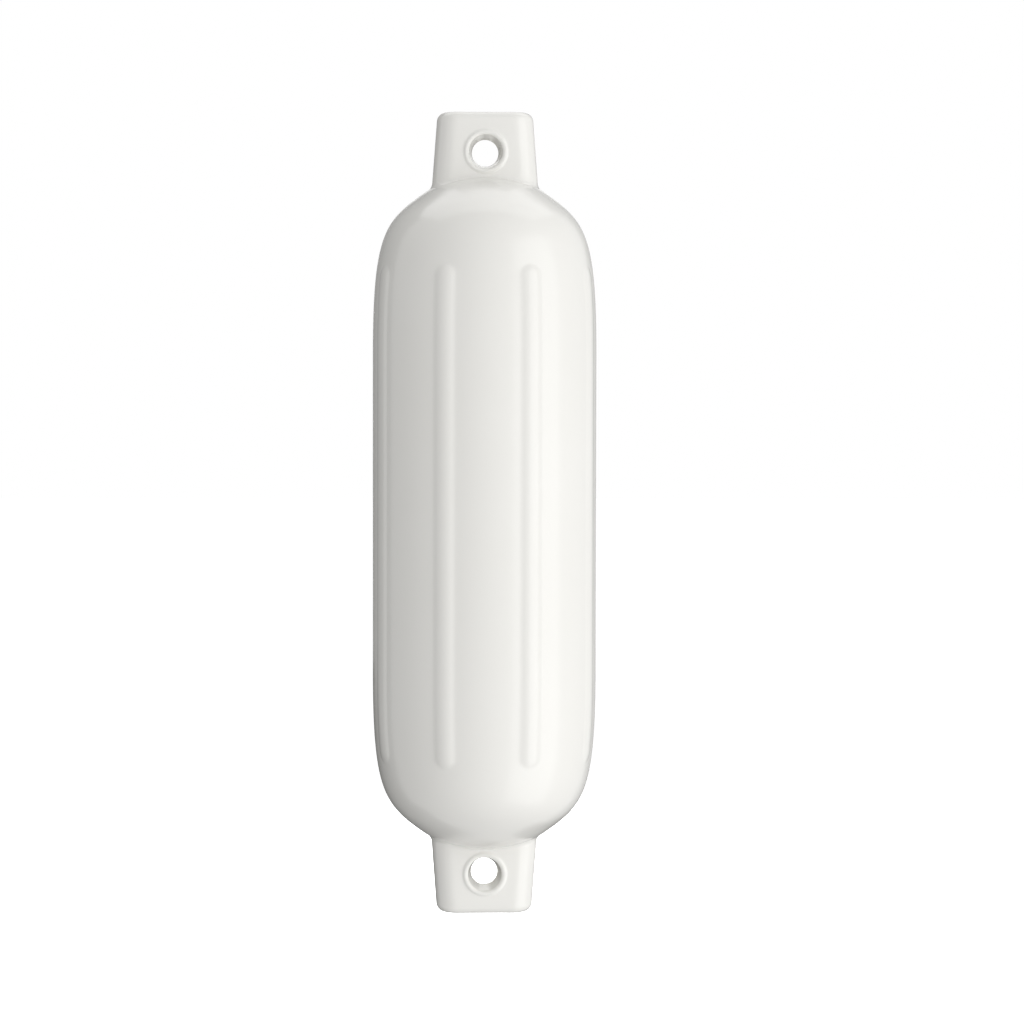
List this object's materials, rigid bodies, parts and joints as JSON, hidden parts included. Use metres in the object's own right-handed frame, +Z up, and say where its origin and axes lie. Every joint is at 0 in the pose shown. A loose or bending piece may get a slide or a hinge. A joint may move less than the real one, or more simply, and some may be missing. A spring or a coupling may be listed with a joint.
{
  "type": "boat fender",
  "caption": "Inflatable cylindrical boat fender with rounded shoulders, raised lengthwise ribs and a pierced flat rope eye at each end.",
  "frame": {"origin": "middle of the fender, halfway between its two eye tips and on the body's axis", "axes": "+Z up along the body's axis to the upper eye, +Y to the back along both rope holes, front at -Y, +X to the right of someone who faces the front"},
  "size_m": [0.14, 0.14, 0.5],
  "materials": {
    "white_vinyl": "warm white moulded vinyl with a soft gloss",
    "grey_rubber": "matt dark grey rubber"
  },
  "bodies": {
    "root": {"fender_body": "white_vinyl", "valve_plug": "grey_rubber"}
  },
  "joints": []
}
